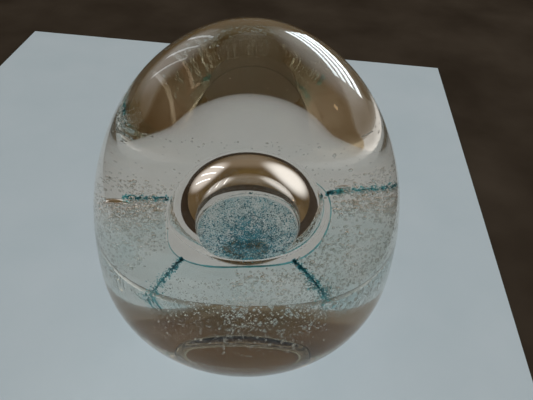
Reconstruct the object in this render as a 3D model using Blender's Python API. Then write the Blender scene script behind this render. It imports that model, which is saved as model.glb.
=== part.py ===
"""Solid glass egg paperweight, 75 mm wide and 81 mm tall, as the layers of glass it is built from.

A clear core gather stands on a hollowed foot and has a dimple pressed into its top. Five petals of
aqua, bubbled glass lie over it, with a teal thread in each crease between two petals and one round
the dimple, and teal frit lines the dimple. A clear casing gather covers everything and gives the egg
its outside shape. The large bubble in the middle is the air shut in between dimple and casing.

Lengths in the constants are millimetres; the model is in metres, +Z up, the egg's axis on Z, the
ground base on z = 0 and the front of the egg towards -Y. Azimuths are measured from the front,
positive towards +X.
"""

import math

import bpy

MM = 0.001
COLUMNS = 60  # facets round the egg, twelve to a petal

# The outside of the egg
BODY_RADIUS = 37.5
BODY_HEIGHT = 81.0
WIDEST_Z = 26.2
FOOT_RADIUS = 10.8
RECESS_RADIUS = 9.4  # the polished hollow inside the ground ring of the foot
RECESS_DEPTH = 1.6
CROWN_POWERS = (2.24, 1.85)  # height power and radius power above the widest circle
BASE_POWER = 2.54

# The core gather, a cushion on a short neck
CORE_RADIUS = 33.5
CORE_MID_Z = 18.0
CORE_RISE = 16.5
CORE_POWER = 2.8
CORE_DROP = 13.4
CORE_DROP_POWER = 2.4
NECK_RADIUS = 7.7

# The five-petal layer. Each tuple has one number per crease, going round from the front right.
PETALS = 5
CREASES = (34.0, 110.0, 178.0, 249.0, 319.0)  # azimuths
RIM_RADIUS = 13.0
RIM_REACH = (14.1, 12.9, 13.0, 13.0, 16.2)  # the dimple's rim, from the axis
RIM_DIP = (0.0, 0.0, 0.0, 1.6, 1.1)  # how far the rim cuts in before the next crease
LIFT_AT_RIM = (-0.8, 2.6, 1.8, 0.0, -0.6)  # height of the layer over its mean
LIFT_FURTHER_OUT = (1.5, 3.8, 1.0, -2.6, -2.6)
GROOVE_DEPTH = 1.0
PETAL_THICKNESS = 1.0
THREAD_RADIUS = 0.5
THREAD_SIDES = 6
GAP = 0.3  # clearance between neighbouring layers
CASING_CLEARANCE = 2 * GAP + PETAL_THICKNESS + 0.1  # core to casing where the petals lie between

# The bubble
DIMPLE_DEPTH = 8.0
DIMPLE_POWER = 2.0
LINING_THICKNESS = 0.6
BUBBLE_TOP_Z = 46.8

VEIL_RINGS = 9
DROP_RINGS = 5
DIMPLE_RINGS = 4
DOME_RINGS = 6
CROWN_RINGS = 14
BASE_RINGS = 10


def recess(radius):
    """Height of the foot's polished hollow at this radius."""
    return RECESS_DEPTH * (1 - (radius / RECESS_RADIUS) ** 2)


def clear_scene():
    for obj in list(bpy.data.objects):
        bpy.data.objects.remove(obj, do_unlink=True)


def egg_radius(z):
    """Radius of the egg's outside at height z."""
    if z >= WIDEST_Z:
        height_power, radius_power = CROWN_POWERS
        up = (z - WIDEST_Z) / (BODY_HEIGHT - WIDEST_Z)
        return BODY_RADIUS * max(0.0, 1 - up**height_power) ** (1 / radius_power)
    foot = (FOOT_RADIUS / BODY_RADIUS) ** BASE_POWER
    depth = WIDEST_Z / (1 - foot) ** (1 / BASE_POWER)
    down = (WIDEST_Z - z) / depth
    return BODY_RADIUS * (1 - down**BASE_POWER) ** (1 / BASE_POWER)


def petal_azimuth(index, turn):
    """Azimuth in degrees this share of the way across a petal."""
    start = CREASES[index]
    return start + (CREASES[(index + 1) % PETALS] - start) % 360 * turn


def azimuths():
    """Column azimuths in radians, starting on a crease."""
    steps = COLUMNS // PETALS
    return [math.radians(petal_azimuth(i // steps, i % steps / steps)) for i in range(COLUMNS)]


def at(radius, azimuth, z):
    return (radius * math.sin(azimuth), -radius * math.cos(azimuth), z)


def crease_turns(azimuth):
    """Azimuth counted in petals from the first crease, 0 to 5."""
    degrees = (math.degrees(azimuth) - CREASES[0] + 1e-9) % 360
    ends = [crease - CREASES[0] for crease in CREASES] + [360.0]
    index = max(i for i in range(PETALS) if degrees >= ends[i])
    return index + (degrees - ends[index]) / (ends[index + 1] - ends[index])


def corner(azimuth):
    """1 on a crease, -1 halfway between two."""
    return math.cos(2 * math.pi * crease_turns(azimuth))


def groove(azimuth):
    return ((1 + corner(azimuth)) / 2) ** 3


def eased(values, azimuth):
    """Eases a number from each crease to the next."""
    turns = crease_turns(azimuth)
    first = int(turns) % PETALS
    ease = (1 - math.cos(math.pi * (turns - int(turns)))) / 2
    return values[first] * (1 - ease) + values[(first + 1) % PETALS] * ease


def rim_radius(azimuth):
    dip = RIM_DIP[int(crease_turns(azimuth)) % PETALS]
    return eased(RIM_REACH, azimuth) - dip * (1 - corner(azimuth)) / 2


def cushion(angle, drop, power):
    """A point of the core's side: angle 0 at its widest, 90 degrees on the axis."""
    radius = CORE_RADIUS * math.cos(angle) ** (2 / power)
    return radius, CORE_MID_Z + drop * math.sin(angle) ** (2 / power)


def veil_profile():
    """Rings of the core's top from the dimple rim out and down to the petals' lower edge, as
    (radius, z, normal radius, normal z)."""
    rim_angle = math.acos((RIM_RADIUS / CORE_RADIUS) ** (CORE_POWER / 2))
    rings = []
    for i in range(VEIL_RINGS):
        angle = rim_angle * (1 - i / (VEIL_RINGS - 1)) ** 0.8
        rings.append(cushion(angle, CORE_RISE, CORE_POWER))
    profile = []
    for i, (radius, z) in enumerate(rings):
        before, after = rings[max(i - 1, 0)], rings[min(i + 1, VEIL_RINGS - 1)]
        run, fall = after[0] - before[0], before[1] - after[1]
        length = math.hypot(run, fall)
        profile.append((radius, z, fall / length, run / length))
    return profile


def veil_point(ring, azimuth, offset):
    """A point offset outwards from the core's top; ring counts from the dimple rim."""
    low, share = min(int(ring), VEIL_RINGS - 2), ring - min(int(ring), VEIL_RINGS - 2)
    profile = VEIL_PROFILE[low], VEIL_PROFILE[low + 1]
    radius, z, out, up = (a * (1 - share) + b * share for a, b in zip(*profile))
    along = ring / (VEIL_RINGS - 1)
    push = offset - GROOVE_DEPTH * groove(azimuth) * math.sin(math.pi * along)
    spread = 1 + (rim_radius(azimuth) / RIM_RADIUS - 1) * (1 - along) ** 3
    share = min(1.0, 2 * along)
    rise = eased(LIFT_AT_RIM, azimuth) * (1 - share) + eased(LIFT_FURTHER_OUT, azimuth) * share
    height = z + up * push + rise * (1 - along) ** 0.5
    return at((radius + out * push) * spread, azimuth, height)


def drop_rings(clearance):
    """Rings from the petals' lower edge down under the core to its neck, clear of it by clearance."""
    rings = []
    for i in range(1, DROP_RINGS + 1):
        angle = math.radians(82) * i / DROP_RINGS
        radius, z = cushion(angle, -CORE_DROP, CORE_DROP_POWER)
        slope = math.sin(angle)
        rings.append((radius + clearance * math.cos(angle), z - clearance * slope))
    return rings


def dimple_ring(share, rise):
    """A ring of the dimple at this share of the rim's radius, raised by rise. The rim's uneven height
    fades out towards the middle."""
    depth = DIMPLE_DEPTH * (1 - share**DIMPLE_POWER)
    ring = []
    for azimuth in azimuths():
        x, y, z = veil_point(0, azimuth, 0)
        height = VEIL_PROFILE[0][1] + (z - VEIL_PROFILE[0][1]) * share
        ring.append((x * share, y * share, height - depth + rise))
    return ring


def circle(radius, z):
    return [at(radius, azimuth, z) for azimuth in azimuths()]


def make(name, points, faces, material, smooth=True):
    mesh = bpy.data.meshes.new(name)
    mesh.from_pydata([tuple(c * MM for c in point) for point in points], [], faces)
    mesh.validate()
    mesh.polygons.foreach_set("use_smooth", [smooth] * len(mesh.polygons))
    mesh.materials.append(material)
    obj = bpy.data.objects.new(name, mesh)
    bpy.context.scene.collection.objects.link(obj)
    return obj


def shell(name, rings, material):
    """A closed skin through rings of points, from the top down its outside. The first and last rings
    are single points."""
    points, starts = [], []
    for ring in rings:
        starts.append(len(points))
        points.extend(ring)
    faces = []
    for a, b, start, after in zip(rings, rings[1:], starts, starts[1:]):
        count = max(len(a), len(b))
        for i in range(count):
            j = (i + 1) % count
            if len(a) == 1:
                faces.append((start, after + i, after + j))
            elif len(b) == 1:
                faces.append((start + j, start + i, after))
            else:
                faces.append((start + j, start + i, after + i, after + j))
    return make(name, points, faces, material)


def slab(name, top, bottom, material):
    """A closed sheet between two grids of points, rows of equal length, top seen from outside."""
    rows, columns = len(top), len(top[0])
    points = [point for row in top for point in row] + [point for row in bottom for point in row]
    below = rows * columns
    faces = []
    for i in range(rows - 1):
        for j in range(columns - 1):
            a = i * columns + j
            quad = (a, a + columns, a + columns + 1, a + 1)
            faces.append(quad)
            faces.append(tuple(below + corner_index for corner_index in reversed(quad)))
    edge = [j for j in range(columns)]
    edge += [i * columns + columns - 1 for i in range(1, rows)]
    edge += [(rows - 1) * columns + j for j in range(columns - 2, -1, -1)]
    edge += [i * columns for i in range(rows - 2, 0, -1)]
    for a, b in zip(edge, edge[1:] + edge[:1]):
        faces.append((a, b, below + b, below + a))
    return make(name, points, faces, material)


def unit(vector):
    length = math.sqrt(sum(c * c for c in vector))
    return tuple(c / length for c in vector)


def cross(a, b):
    return (a[1] * b[2] - a[2] * b[1], a[2] * b[0] - a[0] * b[2], a[0] * b[1] - a[1] * b[0])


def thread(name, path, material, loop):
    """A round thread along a path, closed on itself or with flat ends."""
    count = len(path)
    points, faces = [], []
    for i, centre in enumerate(path):
        before = path[i - 1] if loop or i else path[0]
        after = path[(i + 1) % count] if loop or i < count - 1 else path[-1]
        ahead = unit(tuple(b - a for a, b in zip(before, after)))
        side = unit(cross(ahead, (0, 0, 1)))
        over = cross(side, ahead)
        for k in range(THREAD_SIDES):
            turn = 2 * math.pi * k / THREAD_SIDES
            across, up = THREAD_RADIUS * math.cos(turn), THREAD_RADIUS * math.sin(turn)
            points.append(tuple(c + across * s + up * o for c, s, o in zip(centre, side, over)))
    for i in range(count if loop else count - 1):
        start, after = i * THREAD_SIDES, (i + 1) % count * THREAD_SIDES
        for k in range(THREAD_SIDES):
            j = (k + 1) % THREAD_SIDES
            faces.append((start + j, start + k, after + k, after + j))
    if not loop:
        faces.append(tuple(range(THREAD_SIDES)))
        faces.append(tuple(reversed(range((count - 1) * THREAD_SIDES, count * THREAD_SIDES))))
    return make(name, points, faces, material)


def glass(name, color, roughness, transmission):
    material = bpy.data.materials.new(name)
    material.use_nodes = True
    shader = material.node_tree.nodes["Principled BSDF"]
    shader.inputs["Base Color"].default_value = (*color, 1.0)
    shader.inputs["Roughness"].default_value = roughness
    shader.inputs["IOR"].default_value = 1.5
    shader.inputs["Transmission Weight"].default_value = transmission
    return material


def build_casing(material):
    """The outer gather: the egg's outside, then back up inside it round the core and over the bubble."""
    rings = [[(0, 0, BODY_HEIGHT)]]
    for i in range(1, CROWN_RINGS + 1):
        up = math.cos(math.pi / 2 * i / CROWN_RINGS)
        z = WIDEST_Z + (BODY_HEIGHT - WIDEST_Z) * up
        rings.append(circle(egg_radius(z), z))
    foot_angle = math.acos((FOOT_RADIUS / BODY_RADIUS) ** (BASE_POWER / 2))
    depth = WIDEST_Z / math.sin(foot_angle) ** (2 / BASE_POWER)
    for i in range(1, BASE_RINGS):
        z = WIDEST_Z - depth * math.sin(foot_angle * i / BASE_RINGS) ** (2 / BASE_POWER)
        rings.append(circle(egg_radius(z), z))
    rings.append(circle(FOOT_RADIUS, 0))
    rings.append(circle(RECESS_RADIUS, 0))
    neck = NECK_RADIUS + GAP
    rings.append(circle(neck, recess(neck)))
    inner = drop_rings(GAP + 0.1)
    rings.append(circle(neck, inner[-1][1]))
    rings += [circle(radius, z) for radius, z in reversed(inner[:-1])]
    for ring in range(VEIL_RINGS - 1, -1, -1):
        rings.append([veil_point(ring, azimuth, CASING_CLEARANCE) for azimuth in azimuths()])
    rim = rings[-1]
    for i in range(1, DOME_RINGS):
        angle = math.radians(90) * i / DOME_RINGS
        share, rise = math.cos(angle) ** 0.9, math.sin(angle)
        rings.append([(x * share, y * share, z + (BUBBLE_TOP_Z - z) * rise) for x, y, z in rim])
    rings.append([(0, 0, BUBBLE_TOP_Z)])
    shell("clear_casing", rings, material)


def build_core(material):
    """The inner gather: hollowed foot, neck, cushion and dimple."""
    under = drop_rings(0)
    rings = [[(0, 0, RECESS_DEPTH)]]
    rings += [circle(radius, recess(radius)) for radius in (NECK_RADIUS / 2, NECK_RADIUS)]
    rings.append(circle(NECK_RADIUS, under[-1][1]))
    rings += [circle(radius, z) for radius, z in reversed(under[:-1])]
    for ring in range(VEIL_RINGS - 1, -1, -1):
        rings.append([veil_point(ring, azimuth, 0) for azimuth in azimuths()])
    rings += [dimple_ring(1 - i / DIMPLE_RINGS, 0) for i in range(1, DIMPLE_RINGS)]
    rings.append([(0, 0, VEIL_PROFILE[0][1] - DIMPLE_DEPTH)])
    shell("clear_core", list(reversed(rings)), material)


def build_lining(material):
    """The frit on the dimple's wall, as a thin dish that stops short of the rim."""
    shares = [0.9 * i / DIMPLE_RINGS for i in range(DIMPLE_RINGS, 0, -1)]
    low = VEIL_PROFILE[0][1] - DIMPLE_DEPTH + GAP
    top = [dimple_ring(share, GAP + LINING_THICKNESS) for share in reversed(shares)]
    bottom = [dimple_ring(share, GAP) for share in shares]
    rings = [[(0, 0, low + LINING_THICKNESS)], *top, *bottom, [(0, 0, low)]]
    shell("dimple_frit_lining", rings, material)


def build_petal(index, material):
    """One petal, from beside the rim thread to the lower edge, its sides parallel to the creases."""
    clear = THREAD_RADIUS + GAP + 0.1
    start, end = petal_azimuth(index, 0), petal_azimuth(index, 1)
    steps = COLUMNS // PETALS
    rows = [0.3] + list(range(1, VEIL_RINGS))
    grids = ([], [])
    for row in rows:
        x, y, _ = veil_point(row, 0, 0)
        margin = math.degrees(math.asin(clear / math.hypot(x, y)))
        for grid, offset in zip(grids, (GAP + PETAL_THICKNESS, GAP)):
            line = []
            for j in range(steps + 1):
                azimuth = petal_azimuth(index, j / steps)
                azimuth = min(max(azimuth, start + margin), end - margin)
                line.append(veil_point(row, math.radians(azimuth), offset))
            grid.append(line)
    slab(f"veil_petal_{index + 1}", *grids, material)


def build_threads(material):
    """A thread in each crease, and one round the dimple rim."""
    centre = GAP + THREAD_RADIUS
    rim = [veil_point(0, azimuth, centre) for azimuth in azimuths()]
    thread("rim_thread", rim, material, True)
    for index in range(PETALS):
        azimuth = math.radians(CREASES[index])
        path = [veil_point(row, azimuth, centre) for row in [0.45] + list(range(1, VEIL_RINGS - 2))]
        thread(f"crease_thread_{index + 1}", path, material, False)


VEIL_PROFILE = veil_profile()

clear_scene()
build_casing(glass("clear_casing", (0.97, 0.94, 0.92), 0.0, 1.0))
build_core(glass("clear_core", (0.97, 0.96, 0.95), 0.0, 1.0))
build_lining(glass("frit_lining", (0.20, 0.45, 0.52), 0.3, 0.3))
petal_glass = glass("petal_glass", (0.72, 0.88, 0.90), 0.1, 0.8)
for petal in range(PETALS):
    build_petal(petal, petal_glass)
build_threads(glass("teal_thread", (0.02, 0.38, 0.48), 0.1, 0.2))
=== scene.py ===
"""The look of the glass egg paperweight: clear glass, the large bubble, the five-petal veil of tiny
bubbles, teal creases and frit, with the camera, the light and a pale sheet under it.

Lengths in the constants are millimetres. The front of the egg faces -Y, and azimuths are measured
from the front, positive towards +X.
"""

import math

import bmesh
import bpy
import numpy as np
from mathutils import Matrix, Vector, noise


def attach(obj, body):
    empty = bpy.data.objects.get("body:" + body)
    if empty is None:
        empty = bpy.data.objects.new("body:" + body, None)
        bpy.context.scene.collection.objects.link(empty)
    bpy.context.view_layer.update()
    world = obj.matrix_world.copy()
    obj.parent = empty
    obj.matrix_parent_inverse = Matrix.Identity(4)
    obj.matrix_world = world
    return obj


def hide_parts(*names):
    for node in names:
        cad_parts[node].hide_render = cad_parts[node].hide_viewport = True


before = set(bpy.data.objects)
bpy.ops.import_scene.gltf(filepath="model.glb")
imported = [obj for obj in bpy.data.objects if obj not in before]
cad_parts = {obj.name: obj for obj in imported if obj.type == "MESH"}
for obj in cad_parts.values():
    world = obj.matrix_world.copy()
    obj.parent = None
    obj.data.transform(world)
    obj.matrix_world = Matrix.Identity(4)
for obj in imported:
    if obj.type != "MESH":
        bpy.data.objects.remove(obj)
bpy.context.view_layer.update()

MM = 0.001
SEED = 11

# The outside of the egg
BODY_RADIUS = 37.5
BODY_HEIGHT = 81.0
WIDEST_Z = 26.2
FOOT_RADIUS = 10.8
RECESS_RADIUS = 9.4
RECESS_DEPTH = 1.6
CROWN_POWERS = (2.24, 1.85)
BASE_POWER = 2.54
WAVINESS = 0.08  # how far the hand-shaped surface wanders from the true egg

# The layer of petals. Each tuple has one number per crease.
CORE_RADIUS = 33.5
CORE_MID_Z = 18.0
CORE_RISE = 16.5
CORE_POWER = 2.8
CORE_DROP = 13.4
CORE_DROP_POWER = 2.4
PETALS = 5
CREASES = (34.0, 110.0, 178.0, 249.0, 319.0)  # azimuths
RIM_REACH = (14.1, 12.9, 13.0, 13.0, 16.2)  # the dimple's rim, from the axis
RIM_DIP = (0.0, 0.0, 0.0, 1.6, 1.1)  # how far the rim cuts in before the next crease
LIFT_AT_RIM = (-0.8, 2.6, 1.8, 0.0, -0.6)
LIFT_FURTHER_OUT = (1.5, 3.8, 1.0, -2.6, -2.6)
GROOVE_DEPTH = 1.0
VEIL_MID = 0.8  # height of the petals' middle above the core
VEIL_THICKNESS = 1.0

# The large bubble
BUBBLE_RADIUS = 12.5
BUBBLE_EDGE_Z = 34.7
BUBBLE_EDGE_TILT = (0.5, 0.7)  # rise of the edge towards +X and +Y
BUBBLE_TOP_Z = 46.8
DOME_POWER = 1.85
DIMPLE_DEPTH = 8.0


def egg_radius(z):
    """Radius of the egg's outside at height z."""
    if z >= WIDEST_Z:
        height_power, radius_power = CROWN_POWERS
        up = (z - WIDEST_Z) / (BODY_HEIGHT - WIDEST_Z)
        return BODY_RADIUS * max(0.0, 1 - up**height_power) ** (1 / radius_power)
    foot = (FOOT_RADIUS / BODY_RADIUS) ** BASE_POWER
    depth = WIDEST_Z / (1 - foot) ** (1 / BASE_POWER)
    down = (WIDEST_Z - z) / depth
    return BODY_RADIUS * (1 - down**BASE_POWER) ** (1 / BASE_POWER)


def recess(radius):
    """Height of the foot's polished hollow at this radius."""
    return RECESS_DEPTH * max(0.0, 1 - (radius / RECESS_RADIUS) ** 2)


def at(radius, azimuth, z):
    """The point at this radius from the axis, azimuth in radians and height."""
    return Vector((radius * math.sin(azimuth), -radius * math.cos(azimuth), z))


def columns(count):
    """Azimuths that divide a full turn evenly."""
    return [2 * math.pi * i / count for i in range(count)]


def crease_turns(azimuth):
    """Azimuth counted in petals from the first crease, 0 to 5."""
    degrees = (math.degrees(azimuth) - CREASES[0]) % 360
    ends = [crease - CREASES[0] for crease in CREASES] + [360.0]
    for index in range(PETALS):
        if degrees < ends[index + 1]:
            return index + (degrees - ends[index]) / (ends[index + 1] - ends[index])
    return 0.0


def petal_azimuth(index, turn):
    """Azimuth in radians this share of the way across a petal."""
    start = CREASES[index]
    width = (CREASES[(index + 1) % PETALS] - start) % 360
    return math.radians(start + width * turn)


def corner(azimuth):
    """1 on a crease, -1 halfway between two."""
    return math.cos(2 * math.pi * crease_turns(azimuth))


def eased(values, azimuth):
    """Eases a number from each crease to the next."""
    turns = crease_turns(azimuth)
    first = int(turns) % PETALS
    ease = (1 - math.cos(math.pi * (turns - int(turns)))) / 2
    return values[first] * (1 - ease) + values[(first + 1) % PETALS] * ease


def rim_radius(azimuth):
    """Radius of the dimple's rim at this azimuth."""
    dip = RIM_DIP[int(crease_turns(azimuth)) % PETALS]
    return eased(RIM_REACH, azimuth) - dip * (1 - corner(azimuth)) / 2


def veil_point(along, azimuth, offset):
    """A point of the petal layer: along is 0 at the dimple's rim and 1 at the core's widest place,
    and offset is the height above the core."""
    rim_angle = math.acos((rim_radius(azimuth) / CORE_RADIUS) ** (CORE_POWER / 2))
    angle = rim_angle * (1 - along) ** 0.8
    c, s = max(math.cos(angle), 1e-6), max(math.sin(angle), 1e-6)
    radius = CORE_RADIUS * c ** (2 / CORE_POWER)
    z = CORE_MID_Z + CORE_RISE * s ** (2 / CORE_POWER)
    out = (radius / CORE_RADIUS) ** (CORE_POWER - 1) / CORE_RADIUS
    up = ((z - CORE_MID_Z) / CORE_RISE) ** (CORE_POWER - 1) / CORE_RISE
    length = math.hypot(out, up)
    groove = ((1 + corner(azimuth)) / 2) ** 3
    push = offset - GROOVE_DEPTH * groove * math.sin(math.pi * along)
    share = min(1.0, 2 * along)
    rise = eased(LIFT_AT_RIM, azimuth) * (1 - share) + eased(LIFT_FURTHER_OUT, azimuth) * share
    return at(radius + out / length * push, azimuth, z + up / length * push + rise * (1 - along) ** 0.5)


def skirt_point(down, azimuth, offset):
    """A point of the petal layer below the core's widest place, 0 there and 1 at the neck."""
    radius = (CORE_RADIUS + offset) * (1 - down**CORE_DROP_POWER) ** (1 / CORE_DROP_POWER)
    return at(radius, azimuth, CORE_MID_Z - CORE_DROP * down)


def bubble_edge(azimuth):
    """Height of the large bubble's edge."""
    east, north = math.sin(azimuth), -math.cos(azimuth)
    return BUBBLE_EDGE_Z + BUBBLE_EDGE_TILT[0] * east + BUBBLE_EDGE_TILT[1] * north


def dimple_point(share, azimuth, above):
    """A point over the dimple's skin: share is 0 at the middle and 1 at the edge."""
    edge = BUBBLE_EDGE_Z * (1 - share) + bubble_edge(azimuth) * share
    z = edge - DIMPLE_DEPTH * (1 - share**2) + above
    return at(BUBBLE_RADIUS * share, azimuth, z)


# Meshes


def link(name, mesh):
    """Puts the mesh in the scene as an object."""
    obj = bpy.data.objects.new(name, mesh)
    bpy.context.scene.collection.objects.link(obj)
    return obj


def finish_mesh(mesh, material):
    """Smooth shading and a material."""
    mesh.polygons.foreach_set("use_smooth", [True] * len(mesh.polygons))
    mesh.materials.append(material)


def shell(name, rings, material, inward=False):
    """A closed skin through rings of points, from the top down its outside, or turned to face
    inwards. The first and last rings are single points."""
    points, starts, faces = [], [], []
    for ring in rings:
        starts.append(len(points))
        points.extend(ring)
    for a, b, start, after in zip(rings, rings[1:], starts, starts[1:]):
        count = max(len(a), len(b))
        for i in range(count):
            j = (i + 1) % count
            if len(a) == 1:
                faces.append((start, after + i, after + j))
            elif len(b) == 1:
                faces.append((start + j, start + i, after))
            else:
                faces.append((start + j, start + i, after + i, after + j))
    if inward:
        faces = [tuple(reversed(face)) for face in faces]
    mesh = bpy.data.meshes.new(name)
    mesh.from_pydata([tuple(c * MM for c in point) for point in points], [], faces)
    finish_mesh(mesh, material)
    return link(name, mesh)


def ball_template(level):
    """Points and triangles of a round ball, level 1 the coarsest. Level 0 is a cut grain."""
    if level == 0:
        points = np.array([(1, 0, 0), (-1, 0, 0), (0, 1, 0), (0, -1, 0), (0, 0, 1), (0, 0, -1)], float)
        sides = ((0, 2, 4), (2, 1, 4), (1, 3, 4), (3, 0, 4), (2, 0, 5), (1, 2, 5), (3, 1, 5), (0, 3, 5))
        return points, np.array(sides)
    mesh = bmesh.new()
    bmesh.ops.create_icosphere(mesh, subdivisions=level, radius=1.0)
    points = np.array([vertex.co[:] for vertex in mesh.verts])
    faces = np.array([[vertex.index for vertex in face.verts] for face in mesh.faces])
    mesh.free()
    return points, faces


def swarm(name, centres, frames, material, level, inward):
    """Many small balls as one mesh. frames holds each ball's three half-axes as a 3 by 3 matrix."""
    points, faces = ball_template(level)
    centres, frames = np.asarray(centres), np.asarray(frames)
    all_points = (np.einsum("pk,nkj->npj", points, frames) + centres[:, None, :]) * MM
    shift = np.arange(len(centres))[:, None, None] * len(points)
    all_faces = (faces[None] + shift).reshape(-1, 3)
    if inward:
        all_faces = all_faces[:, ::-1]
    mesh = bpy.data.meshes.new(name)
    mesh.vertices.add(all_points.shape[0] * all_points.shape[1])
    mesh.vertices.foreach_set("co", all_points.astype(np.float32).ravel())
    mesh.loops.add(all_faces.size)
    mesh.loops.foreach_set("vertex_index", np.ascontiguousarray(all_faces, np.int32).ravel())
    mesh.polygons.add(len(all_faces))
    mesh.polygons.foreach_set("loop_start", np.arange(0, all_faces.size, 3, dtype=np.int32))
    mesh.update(calc_edges=True)
    finish_mesh(mesh, material)
    return link(name, mesh)


def tube(name, path, radii, sides, material):
    """A closed round tube of changing radius along an open path."""
    rings = []
    for i, centre in enumerate(path):
        ahead = (path[min(i + 1, len(path) - 1)] - path[max(i - 1, 0)]).normalized()
        side = ahead.cross(Vector((0, 0, 1))).normalized()
        over = side.cross(ahead)
        ring = []
        for k in range(sides):
            turn = 2 * math.pi * k / sides
            ring.append(centre + radii[i] * (math.cos(turn) * side - math.sin(turn) * over))
        rings.append(ring)
    rings = [[path[0]]] + rings + [[path[-1]]]
    return shell(name, rings, material)


# Materials


def material(name, roughness, ior=1.5, transmission=0.0, specular=0.5):
    """A new material and its shader node."""
    made = bpy.data.materials.new(name)
    made.use_nodes = True
    shader = made.node_tree.nodes["Principled BSDF"]
    shader.inputs["Roughness"].default_value = roughness
    shader.inputs["IOR"].default_value = ior
    shader.inputs["Transmission Weight"].default_value = transmission
    shader.inputs["Specular IOR Level"].default_value = specular
    return made, shader


def noise_colour(made, socket, scale, low, high, detail=3.0, contrast=(0.35, 0.65)):
    """Colours the socket with noise of the given scale per metre, running from low to high."""
    nodes, links = made.node_tree.nodes, made.node_tree.links
    where = nodes.new("ShaderNodeTexCoord")
    texture = nodes.new("ShaderNodeTexNoise")
    texture.inputs["Scale"].default_value = scale
    texture.inputs["Detail"].default_value = detail
    ramp = nodes.new("ShaderNodeValToRGB")
    ramp.color_ramp.elements[0].position, ramp.color_ramp.elements[1].position = contrast
    ramp.color_ramp.elements[0].color = (*low, 1)
    ramp.color_ramp.elements[1].color = (*high, 1)
    links.new(where.outputs["Object"], texture.inputs["Vector"])
    links.new(texture.outputs["Fac"], ramp.inputs["Fac"])
    links.new(ramp.outputs["Color"], socket)
    return texture


def clear_glass():
    """Clear glass with faint warm cords in it."""
    made, shader = material("clear_glass", 0.0, transmission=1.0)
    noise_colour(made, shader.inputs["Base Color"], 60, (0.92, 0.805, 0.71), (0.955, 0.85, 0.76))
    return made


def air(name, low, high):
    """The skin between the glass and the air in a bubble, faintly clouded."""
    made, shader = material(name, 0.0, transmission=1.0)
    noise_colour(made, shader.inputs["Base Color"], 300, low, high)
    return made


MIX_FIRST, MIX_SECOND, MIX_RESULT = 6, 7, 2  # the colour sockets of a mix node


def aqua_glass():
    """The petals' glass: aqua at the front and near the dimple, and clear lower down and behind."""
    made, shader = material("aqua_glass", 0.0, ior=1.0, transmission=1.0)
    nodes, links = made.node_tree.nodes, made.node_tree.links
    where = nodes.new("ShaderNodeTexCoord")
    split = nodes.new("ShaderNodeSeparateXYZ")
    links.new(where.outputs["Object"], split.inputs["Vector"])
    fades = []
    for axis, low, high in (("Z", 25.0, 31.0), ("Y", 6.0, -6.0)):
        fade = nodes.new("ShaderNodeMapRange")
        fade.interpolation_type = "SMOOTHERSTEP"
        fade.inputs["From Min"].default_value = low * MM
        fade.inputs["From Max"].default_value = high * MM
        links.new(split.outputs[axis], fade.inputs["Value"])
        fades.append(fade.outputs["Result"])
    texture = nodes.new("ShaderNodeTexNoise")
    texture.inputs["Scale"].default_value = 140
    links.new(where.outputs["Object"], texture.inputs["Vector"])
    share = nodes.new("ShaderNodeMath")
    share.operation = "MULTIPLY"
    links.new(fades[0], share.inputs[0])
    links.new(fades[1], share.inputs[1])
    mottle = nodes.new("ShaderNodeMapRange")
    mottle.inputs["From Min"].default_value, mottle.inputs["From Max"].default_value = 0.3, 0.7
    mottle.inputs["To Min"].default_value, mottle.inputs["To Max"].default_value = 0.55, 1.0
    links.new(texture.outputs["Fac"], mottle.inputs["Value"])
    amount = nodes.new("ShaderNodeMath")
    amount.operation = "MULTIPLY"
    links.new(share.outputs["Value"], amount.inputs[0])
    links.new(mottle.outputs["Result"], amount.inputs[1])
    blend = nodes.new("ShaderNodeMix")
    blend.data_type = "RGBA"
    blend.inputs[MIX_FIRST].default_value = (0.99, 0.995, 0.995, 1)
    blend.inputs[MIX_SECOND].default_value = (0.76, 0.90, 0.93, 1)
    links.new(amount.outputs["Value"], blend.inputs[0])
    links.new(blend.outputs[MIX_RESULT], shader.inputs["Base Color"])
    return made


def tint(name, scale, low, high, ior=1.0):
    """Coloured glass inside clear glass, so it colours light and hardly bends it."""
    made, shader = material(name, 0.0, ior=ior, transmission=1.0)
    noise_colour(made, shader.inputs["Base Color"], scale, low, high)
    return made


def grains(name, scale, low, high):
    """Coloured glass that light doesn't pass through."""
    made, shader = material(name, 0.25)
    noise_colour(made, shader.inputs["Base Color"], scale, low, high)
    return made


# Pieces

rng = np.random.default_rng(SEED)


WAVE_LENGTH = 16.0
WAVE_FADE_HEIGHT = 6.0  # the wander dies away below this height, so the foot stays round


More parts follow.
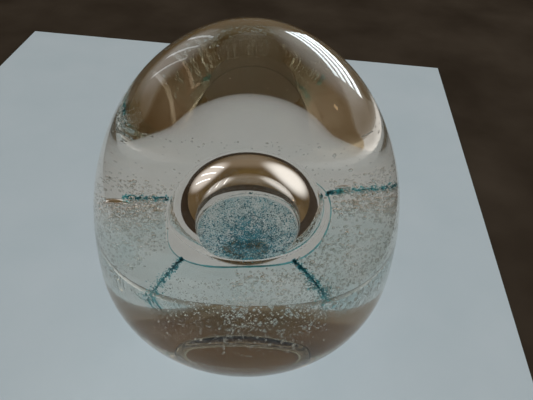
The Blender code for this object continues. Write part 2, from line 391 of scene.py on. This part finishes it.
def build_egg(glass):
    """The polished outside, with a ground ring round a polished hollow for its foot."""
    crown, base, count, hollow, lift = 70, 60, 180, 12, 0.01
    rings, profile = [], []
    for i in range(1, crown + 1):
        z = WIDEST_Z + (BODY_HEIGHT - WIDEST_Z) * math.cos(math.pi / 2 * i / crown)
        profile.append((egg_radius(z), z))
    foot_angle = math.acos((FOOT_RADIUS / BODY_RADIUS) ** (BASE_POWER / 2))
    depth = WIDEST_Z / math.sin(foot_angle) ** (2 / BASE_POWER)
    for i in range(1, base):
        z = WIDEST_Z - depth * math.sin(foot_angle * i / base) ** (2 / BASE_POWER)
        profile.append((egg_radius(z), z))
    for radius, z in profile:
        ring = []
        for azimuth in columns(count):
            point = at(radius, azimuth, z)
            fade = min(1.0, z / WAVE_FADE_HEIGHT)
            wander = noise.noise(point / WAVE_LENGTH) * WAVINESS * fade
            ring.append(point * (1 + wander / BODY_RADIUS))
        rings.append(ring)
    rings.append([at(FOOT_RADIUS, azimuth, 0.0) for azimuth in columns(count)])
    rings.append([at(RECESS_RADIUS + 0.1, azimuth, 0.0) for azimuth in columns(count)])
    for step in range(hollow):
        radius = RECESS_RADIUS * (1 - step / hollow)
        rings.append([at(radius, azimuth, recess(radius) + lift) for azimuth in columns(count)])
    rings = [[Vector((0, 0, BODY_HEIGHT))]] + rings + [[Vector((0, 0, RECESS_DEPTH + lift))]]
    return shell("glass_egg", rings, glass)


def foot_skin(radius, above):
    """Height of a point a little above the foot and the base round it."""
    if radius <= FOOT_RADIUS:
        return recess(radius) + above
    low, high = 0.0, WIDEST_Z
    for _ in range(30):
        middle = (low + high) / 2
        low, high = (middle, high) if egg_radius(middle) < radius else (low, middle)
    return low + above


def build_foot_glass(made):
    """The foot of the core. It stands for the warm tint of the thick glass there, and its brown tint is
    also painted shade over the paper seen under the foot. It alone keeps the lamps off the paper under
    the foot."""
    count, steps, reach, low, high = 96, 16, 16.5, 0.25, 0.5
    radii = [reach * i / steps for i in range(1, steps + 1)]
    top = [[at(radius, a, foot_skin(radius, high)) for a in columns(count)] for radius in radii]
    bottom = [[at(radius, a, foot_skin(radius, low)) for a in columns(count)] for radius in radii]
    rings = [[at(0, 0, foot_skin(0, high))]] + top + bottom[::-1] + [[at(0, 0, foot_skin(0, low))]]
    return shell("core_foot_glass_and_painted_shade", rings, made)


def build_foot_edge(made):
    """A fine dark line of painted shade where the ground ring of the foot meets its polished hollow. It
    stands for the dark outline seen at that edge, not for dark glass.
    It is thicker at the front."""
    count, sides = 120, 6
    radius, height = RECESS_RADIUS + 0.12, 0.14
    points, faces = [], []
    for i, azimuth in enumerate(columns(count)):
        thick = 0.05 + 0.025 * math.cos(azimuth)
        for turn in columns(sides):
            points.append(at(radius + thick * math.cos(turn), azimuth, height + thick * math.sin(turn)))
        for k in range(sides):
            a, b = i * sides, (i + 1) % count * sides
            j = (k + 1) % sides
            faces.append((a + k, b + k, b + j, a + j))
    mesh = bpy.data.meshes.new("foot_painted_dark_edge")
    mesh.from_pydata([tuple(c * MM for c in point) for point in points], [], faces)
    finish_mesh(mesh, made)
    return link("foot_painted_dark_edge", mesh)


def build_bubble(skin):
    """The large bubble: a dome over the dimple, with an edge where the two meet."""
    count, dome, dish = 150, 44, 24
    rings = []
    for i in range(1, dome + 1):
        angle = math.pi / 2 * (1 - i / dome)
        radius = BUBBLE_RADIUS * math.cos(angle)
        up = math.sin(angle) ** (2 / DOME_POWER)
        ring = []
        for azimuth in columns(count):
            edge = bubble_edge(azimuth)
            ring.append(at(radius, azimuth, edge + (BUBBLE_TOP_Z - edge) * up))
        rings.append(ring)
    for i in range(1, dish):
        rings.append([dimple_point(1 - i / dish, azimuth, 0) for azimuth in columns(count)])
    rings = [[Vector((0, 0, BUBBLE_TOP_Z))]] + rings + [[dimple_point(0, 0, 0)]]
    return shell("large_bubble", rings, skin, inward=True)


def build_film(made):
    """The thin coloured film that lines the dimple and holds the frit."""
    count, dish, low, high = 120, 18, 0.04, 0.4
    shares = [0.99 * i / dish for i in range(1, dish + 1)]
    top = [[dimple_point(share, a, high) for a in columns(count)] for share in shares]
    bottom = [[dimple_point(share, a, low) for a in columns(count)] for share in shares]
    rings = [[dimple_point(0, 0, high)]] + top + bottom[::-1] + [[dimple_point(0, 0, low)]]
    return shell("dimple_frit_film", rings, made)


FRIT_MIDDLE = (0.7, 2.4)  # where the frit is thickest, towards +X and +Y of the axis


def dimple_grains(name, count, middle_share, size, made):
    """Frit grains in the film, thickest in the dimple's middle."""
    centres, frames = [], []
    while len(centres) < count:
        azimuth = rng.uniform(0, 2 * math.pi)
        share = math.sqrt(rng.uniform(0, 0.96))
        if rng.random() < middle_share:
            share *= rng.uniform(0.2, 0.9)
            east = share * math.sin(azimuth) + FRIT_MIDDLE[0] / BUBBLE_RADIUS
            north = FRIT_MIDDLE[1] / BUBBLE_RADIUS - share * math.cos(azimuth)
            share, azimuth = math.hypot(east, north), math.atan2(east, -north)
        if share > 0.98:
            continue
        centre = dimple_point(share, azimuth, rng.uniform(0.12, 0.36))
        patch = noise.noise(centre / 2.6)
        if rng.random() > 0.75 + 0.9 * patch:
            continue
        centres.append(centre[:])
        frames.append(np.diag(size * math.exp(rng.normal(0, 0.3)) * rng.uniform(0.7, 1.4, 3)))
    return swarm(name, centres, frames, made, 0, False)


def round_frames(radii):
    """The half-axes of round balls, for swarm."""
    return np.asarray(radii)[:, None, None] * np.eye(3)[None]


def petal_sheet(index, made):
    """The coloured glass of one petal, from the rim to the lower edge."""
    rows, cols, half, margin = 26, 24, 0.35, 0.02
    loops = []
    for sign in (1, -1):
        for row in range(rows):
            along = 0.01 + 0.97 * row / (rows - 1)
            line = []
            for col in range(cols):
                azimuth = petal_azimuth(index, margin + (1 - 2 * margin) * col / (cols - 1))
                line.append(veil_point(along, azimuth, VEIL_MID + sign * half))
            loops.append(line)
    points = [point for line in loops for point in line]
    under = rows * cols
    faces = []
    for row in range(rows - 1):
        for col in range(cols - 1):
            a = row * cols + col
            b, c, d = a + 1, a + cols + 1, a + cols
            faces += [(a, d, c, b), (under + a, under + b, under + c, under + d)]
    edge = [(0, col) for col in range(cols)] + [(row, cols - 1) for row in range(1, rows)]
    edge += [(rows - 1, col) for col in range(cols - 2, -1, -1)]
    edge += [(row, 0) for row in range(rows - 2, 0, -1)]
    around = [row * cols + col for row, col in edge]
    for a, b in zip(around, around[1:] + around[:1]):
        faces.append((a, b, under + b, under + a))
    mesh = bpy.data.meshes.new(f"petal_{index + 1}")
    mesh.from_pydata([tuple(c * MM for c in point) for point in points], [], faces)
    finish_mesh(mesh, made)
    return link(f"petal_{index + 1}", mesh)


# Clusters of tiny bubbles in each petal: how many, across the petal from and to, along from and
# to, middle radius
CLUSTERS = (
    ((160, 0.72, 0.99, 0.01, 0.62, 0.30), (600, 0.62, 0.99, 0.0, 0.62, 0.19),
     (1250, 0.02, 0.58, 0.0, 0.78, 0.165)),
    ((110, 0.02, 0.98, 0.0, 0.80, 0.11), (260, 0.02, 0.22, 0.02, 0.60, 0.13)),
    ((90, 0.02, 0.98, 0.0, 0.80, 0.11), (260, 0.76, 0.98, 0.02, 0.60, 0.13)),
    ((130, 0.02, 0.26, 0.0, 0.45, 0.27), (900, 0.02, 0.45, 0.0, 0.80, 0.165),
     (800, 0.25, 0.80, 0.0, 0.75, 0.15)),
    ((1050, 0.45, 0.98, 0.05, 0.95, 0.18), (650, 0.05, 0.60, 0.10, 0.95, 0.13)),
)

# Tiny bubbles below each petal's widest place: how many, and across the petal from and to
SKIRT_BUBBLES = ((900, 0.02, 0.5), (30, 0.02, 0.98), (30, 0.02, 0.98), (900, 0.5, 0.98),
                 (3000, 0.02, 0.98))


# The long bubbles in the left and right creases: azimuth, then radius and height of each end, and
# width
LONG_BUBBLE = (-109, (16.6, 31.4), (22.0, 29.2), 3.4)
SMALL_LONG_BUBBLE = (110, (13.9, 38.4), (16.4, 37.8), 0.7)


def in_long_bubble(point):
    """Whether a tiny bubble here would run into the long one."""
    azimuth, start, end, width = LONG_BUBBLE
    middle = at((start[0] + end[0]) / 2, math.radians(azimuth), (start[1] + end[1]) / 2)
    return (point - middle).length < width / 2 + 1.3


def petal_bubbles(index, skin):
    """The tiny bubbles of one petal, as two pieces: the larger ones and the finest ones."""
    groups = {True: ([], []), False: ([], [])}
    for count, turn_from, turn_to, along_from, along_to, middle in CLUSTERS[index]:
        for _ in range(count):
            azimuth = petal_azimuth(index, rng.uniform(turn_from, turn_to))
            along = along_from + (along_to - along_from) * rng.beta(1.3, 1.6)
            offset = VEIL_MID + rng.uniform(-0.4, 0.4) * VEIL_THICKNESS
            radius = min(0.55, middle * math.exp(rng.normal(0, 0.35)))
            centre = veil_point(along, azimuth, offset)
            if in_long_bubble(centre):
                continue
            centres, radii = groups[radius > 0.2]
            centres.append(centre[:])
            radii.append(radius)
    count, turn_from, turn_to = SKIRT_BUBBLES[index]
    for _ in range(count):
        azimuth = petal_azimuth(index, rng.uniform(turn_from, turn_to))
        centres, radii = groups[False]
        centres.append(skirt_point(rng.uniform(0.0, 0.92), azimuth, rng.uniform(0.2, 1.1))[:])
        radii.append(0.125 * math.exp(rng.normal(0, 0.25)))
    made = []
    for large, level, name in ((True, 2, "bubbles"), (False, 1, "fine_bubbles")):
        centres, radii = groups[large]
        made.append(swarm(f"petal_{index + 1}_{name}", centres, round_frames(radii), skin, level, True))
    return made


# The creases, one number each: how many grains, and how far down from the rim the teal reaches
CREASE_GRAINS = (1300, 700, 120, 500, 900)
CREASE_REACH = (0.54, 0.42, 0.12, 0.20, 0.54)
GRAIN_SIZE = 0.075
GRAIN_SPREAD_LIMIT = 8


def crease_specks(index, frit):
    """Teal grains strung along a crease and thinning out on both sides of it."""
    centres, frames = [], []
    for _ in range(CREASE_GRAINS[index]):
        along = CREASE_REACH[index] * rng.uniform() ** 1.3
        spread = rng.laplace(0, 0.14 + along)
        if abs(spread) > GRAIN_SPREAD_LIMIT:
            continue
        base = veil_point(along, math.radians(CREASES[index]), VEIL_MID)
        radius = math.hypot(base.x, base.y)
        azimuth = math.radians(CREASES[index]) + spread / radius
        offset = VEIL_MID + rng.uniform(-0.35, 0.35)
        centres.append(veil_point(along, azimuth, offset)[:])
        size = GRAIN_SIZE * math.exp(rng.normal(0, 0.4))
        frames.append(np.diag(size * rng.uniform(0.6, 1.6, 3)))
    return swarm(f"crease_{index + 1}_frit", centres, frames, frit, 1, False)


THREAD_RADII = (0.17, 0.16, 0.08, 0.10, 0.13)
THREAD_POINTS = 90
CREASE_ROD = 1  # the crease that starts with a thick rod
ROD_POINTS, ROD_SWELL = 22, 0.46


def crease_thread(index, frit):
    """The teal line down one crease, which swells and wanders a little."""
    azimuth = math.radians(CREASES[index])
    path, radii = [], []
    for i in range(THREAD_POINTS):
        along = 0.95 * CREASE_REACH[index] * i / (THREAD_POINTS - 1)
        wander = 0.35 * noise.noise(Vector((i * 0.3, index * 7.1, 0.0)))
        point = veil_point(along, azimuth + wander / 20, VEIL_MID)
        path.append(point)
        swell = THREAD_RADII[index] * (1 + 1.1 * noise.noise(Vector((i * 0.55, index * 3.3, 4.0))))
        if index == CREASE_ROD and i < ROD_POINTS:
            swell += ROD_SWELL * math.sin(math.pi * i / ROD_POINTS) ** 0.5
        radii.append(max(0.04, swell * (1 - 0.7 * along)))
    return tube(f"crease_{index + 1}_thread", path, radii, 8, frit)


def rim_thread(frit):
    """The teal line round the dimple's rim, thickest at the front and nearly gone at the left."""
    path, radii = [], []
    count = 180
    for i in range(count):
        azimuth = math.radians(180 + 359.0 * i / count)
        path.append(veil_point(0.0, azimuth, 0.5))
        front = (1 + math.cos(azimuth)) / 2
        left = max(0.0, -math.sin(azimuth)) ** 3
        radius = 0.06 + 0.11 * front + 0.09 * noise.noise(Vector((i * 0.3, 0.0, 9.0)))
        radii.append(radius * (1 - 0.85 * left))
    return tube("rim_thread_glass", path, [max(0.02, radius) for radius in radii], 8, frit)


def long_bubble(name, measures, skin):
    """A long bubble trapped in a crease."""
    degrees, start, end, width = measures
    azimuth = math.radians(degrees)
    a, b = at(start[0], azimuth, start[1]), at(end[0], azimuth, end[1])
    ahead = b - a
    side = ahead.cross(Vector((0, 0, 1))).normalized() * width / 2
    over = ahead.cross(side).normalized() * width / 2
    frames = [[(ahead / 2)[:], side[:], over[:]]]
    return swarm(name, [((a + b) / 2)[:]], frames, skin, 4, True)


STRAY_BUBBLES = 45


def stray_bubbles(skin):
    """A few specks in the clear glass above the petals."""
    centres, radii = [], []
    while len(centres) < STRAY_BUBBLES:
        z = rng.uniform(36, 74)
        radius = egg_radius(z) * math.sqrt(rng.uniform(0.02, 0.9))
        if radius < 15 and z < 48:
            continue
        centres.append(at(radius, rng.uniform(0, 2 * math.pi), z)[:])
        radii.append(0.04 + 0.05 * rng.random())
    return swarm("stray_bubbles", centres, round_frames(radii), skin, 2, True)


glass = clear_glass()
skin = air("bubble_skin", (0.96, 0.965, 0.97), (1, 1, 1))
aqua_skin = air("veil_bubble_skin", (0.90, 0.97, 0.99), (0.95, 1.0, 1.0))
teal_frit = tint("teal_frit", 500, (0.04, 0.40, 0.47), (0.16, 0.66, 0.72), 1.12)
dark_frit = grains("dark_frit", 400, (0.008, 0.085, 0.12), (0.05, 0.28, 0.35))
pale_frit = grains("pale_frit", 700, (0.40, 0.60, 0.62), (0.70, 0.82, 0.82))
film_tint = tint("frit_film", 260, (0.58, 0.76, 0.80), (0.80, 0.90, 0.92))
aqua_tint = aqua_glass()

egg = build_egg(glass)
bubble = build_bubble(skin)
film = build_film(film_tint)
# A thin dark ring of painted shade at the edge of the foot's hollow.
edge = build_foot_edge(grains("painted_dark_edge", 900, (0.03, 0.035, 0.04), (0.08, 0.09, 0.10)))
# The foot's brown tint is partly the warm tint of thick glass and partly painted shade over the paper
# under the foot.
foot = build_foot_glass(tint("foot_tint_and_painted_shade", 90, (0.72, 0.64, 0.52), (0.82, 0.75, 0.64)))
dark = dimple_grains("dimple_dark_grains", 6000, 0.42, 0.13, dark_frit)
pale = dimple_grains("dimple_pale_grains", 2200, 0.1, 0.11, pale_frit)
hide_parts("clear_casing", "clear_core")
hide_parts("dimple_frit_lining")
pieces = [(egg, "casing_glass"), (foot, "core_glass"), (edge, "core_glass"),
          (bubble, "casing_glass"), (film, "frit_lining"),
          (dark, "frit_lining"), (pale, "frit_lining")]
for index in range(PETALS):
    sheet = petal_sheet(index, aqua_tint)
    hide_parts(f"veil_petal_{index + 1}")
    specks = crease_specks(index, teal_frit)
    thread = crease_thread(index, teal_frit)
    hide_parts(f"crease_thread_{index + 1}")
    pieces += [(sheet, "petal_glass"), (specks, "teal_thread"), (thread, "teal_thread")]
    pieces += [(cloud, "petal_glass") for cloud in petal_bubbles(index, aqua_skin)]
rim = rim_thread(teal_frit)
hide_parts("rim_thread")
left = long_bubble("long_bubble_left", LONG_BUBBLE, skin)
right = long_bubble("long_bubble_right", SMALL_LONG_BUBBLE, skin)
pieces += [(rim, "teal_thread"), (left, "casing_glass"), (right, "casing_glass"),
           (stray_bubbles(skin), "casing_glass")]
for piece, slot in pieces:
    piece.visible_shadow = piece == foot
    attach(piece, "root")


# Stage, light and camera


def quad(name, corners, height, made):
    """One flat surface of the stage."""
    mesh = bpy.data.meshes.new(name)
    mesh.from_pydata([(x * MM, y * MM, height * MM) for x, y in corners], [], [(0, 1, 2, 3)])
    mesh.materials.append(made)
    obj = link(name, mesh)
    return obj


def stage_material(name, low, high, scale, roughness):
    """Matt paper or wood, mottled between two colours."""
    made, shader = material(name, roughness, specular=0.0)
    noise_colour(made, shader.inputs["Base Color"], scale, low, high, 4.0, (0.3, 0.7))
    return made


SHEET_HEIGHT, DESK_HEIGHT = -0.05, -1.0
SHEET_CORNERS = ((-145, -150), (60, -174), (93, 151), (-114, 175))
DESK_CORNERS = ((-1500, -1500), (1500, -1500), (1500, 900), (-1500, 900))

sheet_paint = stage_material("pale_sheet", (0.60, 0.66, 0.69), (0.64, 0.69, 0.72), 40, 0.8)
desk_paint = stage_material("dark_desk", (0.040, 0.028, 0.019), (0.070, 0.051, 0.036), 25, 0.9)
quad("floor_sheet", SHEET_CORNERS, SHEET_HEIGHT, sheet_paint)
quad("desk", DESK_CORNERS, DESK_HEIGHT, desk_paint)


def panel(name, azimuths, elevations, radiance, colour, distance=1.2):
    """A soft lamp that fills these angles as seen from the egg, in degrees."""
    width = 2 * distance * math.tan(math.radians(azimuths[1] - azimuths[0]) / 2)
    height = 2 * distance * math.tan(math.radians(elevations[1] - elevations[0]) / 2)
    data = bpy.data.lights.new(name, "AREA")
    data.shape = "RECTANGLE"
    data.size, data.size_y = width, height
    data.energy = 4 * radiance * width * height
    data.color = colour
    lamp = bpy.data.objects.new(name, data)
    bpy.context.scene.collection.objects.link(lamp)
    a, e = math.radians(sum(azimuths) / 2), math.radians(sum(elevations) / 2)
    toward = Vector((math.sin(a) * math.cos(e), -math.cos(a) * math.cos(e), math.sin(e)))
    lamp.location = toward * distance + Vector((0, 0, 0.04))
    lamp.rotation_euler = toward.to_track_quat("Z", "Y").to_euler()
    return lamp


COOL, WARM = (0.86, 0.97, 1.05), (1.0, 0.72, 0.42)  # colours of daylight and of a lamp
for step in range(4):
    blind = panel(f"blind_right_{step}", (134, 164), (2 + 5.5 * step, 5.4 + 5.5 * step), 5, COOL)
    blind.visible_transmission = False
for step in range(3):
    panel(f"blind_left_{step}", (-157 + 10 * step, -155.4 + 10 * step), (8, 30), 1.2, COOL)
panel("warm_lamp", (104, 106), (28, 31), 3, WARM)
overhead = panel("overhead_softbox", (-25, 25), (60, 88), 2.6, COOL)
overhead.visible_glossy = False
overhead.visible_transmission = False


# Soft glows in the room: azimuth, elevation, half-width in degrees, colour
GLOWS = (
    (144, 22, 29, (0.94, 1.03, 1.08)),
    (-144, 18, 24, (0.66, 0.69, 0.71)),
    (182, 22, 30, (0.08, 0.08, 0.078)),
    (180, 66, 24, (0.030, 0.021, 0.003)),
)


def dim_room():
    """The warm dim room that the egg's bands mirror, with a few soft glows in it."""
    world = bpy.data.worlds.new("room")
    world.use_nodes = True
    nodes, links = world.node_tree.nodes, world.node_tree.links
    where = nodes.new("ShaderNodeTexCoord")
    texture = nodes.new("ShaderNodeTexNoise")
    texture.inputs["Scale"].default_value = 1.6
    ramp = nodes.new("ShaderNodeValToRGB")
    ramp.color_ramp.elements[0].position, ramp.color_ramp.elements[1].position = 0.35, 0.65
    ramp.color_ramp.elements[0].color = (0.074, 0.053, 0.025, 1)
    ramp.color_ramp.elements[1].color = (0.124, 0.090, 0.045, 1)
    links.new(where.outputs["Generated"], texture.inputs["Vector"])
    links.new(texture.outputs["Fac"], ramp.inputs["Fac"])
    total = ramp.outputs["Color"]
    for azimuth, elevation, half_width, colour in GLOWS:
        a, e = math.radians(azimuth), math.radians(elevation)
        facing = nodes.new("ShaderNodeVectorMath")
        facing.operation = "DOT_PRODUCT"
        facing.inputs[1].default_value = (
            math.sin(a) * math.cos(e), -math.cos(a) * math.cos(e), math.sin(e))
        fade = nodes.new("ShaderNodeMapRange")
        fade.interpolation_type = "SMOOTHERSTEP"
        fade.inputs["From Min"].default_value = math.cos(math.radians(half_width))
        fade.inputs["From Max"].default_value = 1.0
        glow = nodes.new("ShaderNodeVectorMath")
        glow.operation = "SCALE"
        glow.inputs[0].default_value = colour
        add = nodes.new("ShaderNodeVectorMath")
        links.new(where.outputs["Generated"], facing.inputs[0])
        links.new(facing.outputs["Value"], fade.inputs["Value"])
        links.new(fade.outputs["Result"], glow.inputs["Scale"])
        links.new(total, add.inputs[0])
        links.new(glow.outputs["Vector"], add.inputs[1])
        total = add.outputs["Vector"]
    links.new(total, nodes["Background"].inputs["Color"])
    bpy.context.scene.world = world


dim_room()
bpy.context.scene.view_settings.view_transform = "Standard"

# Angles in degrees. The camera first looks at the axis, at the height of the widest place.
CAMERA_ELEVATION = 43.0
CAMERA_DISTANCE = 145.7
CAMERA_PAN = -1.886
CAMERA_TILT = 3.073
CAMERA_ROLL = 1.739
LENS = 37.8

data = bpy.data.cameras.new("camera")
data.lens = LENS
data.clip_start = 0.001
camera = bpy.data.objects.new("camera", data)
bpy.context.scene.collection.objects.link(camera)
elevation = math.radians(CAMERA_ELEVATION)
back = Vector((0, -math.cos(elevation), math.sin(elevation)))
place = Vector((0, 0, WIDEST_Z * MM)) + back * CAMERA_DISTANCE * MM
look = Matrix((
    (1, 0, 0),
    (0, math.sin(elevation), -math.cos(elevation)),
    (0, math.cos(elevation), math.sin(elevation)),
)).to_4x4()
turn = (
    Matrix.Rotation(math.radians(CAMERA_PAN), 4, "Y")
    @ Matrix.Rotation(math.radians(CAMERA_TILT), 4, "X")
    @ Matrix.Rotation(math.radians(CAMERA_ROLL), 4, "Z")
)
camera.matrix_world = Matrix.Translation(place) @ look @ turn
bpy.context.scene.camera = camera

cycles = bpy.context.scene.cycles
cycles.max_bounces = 32
cycles.transmission_bounces = 32
cycles.glossy_bounces = 16
cycles.transparent_max_bounces = 16
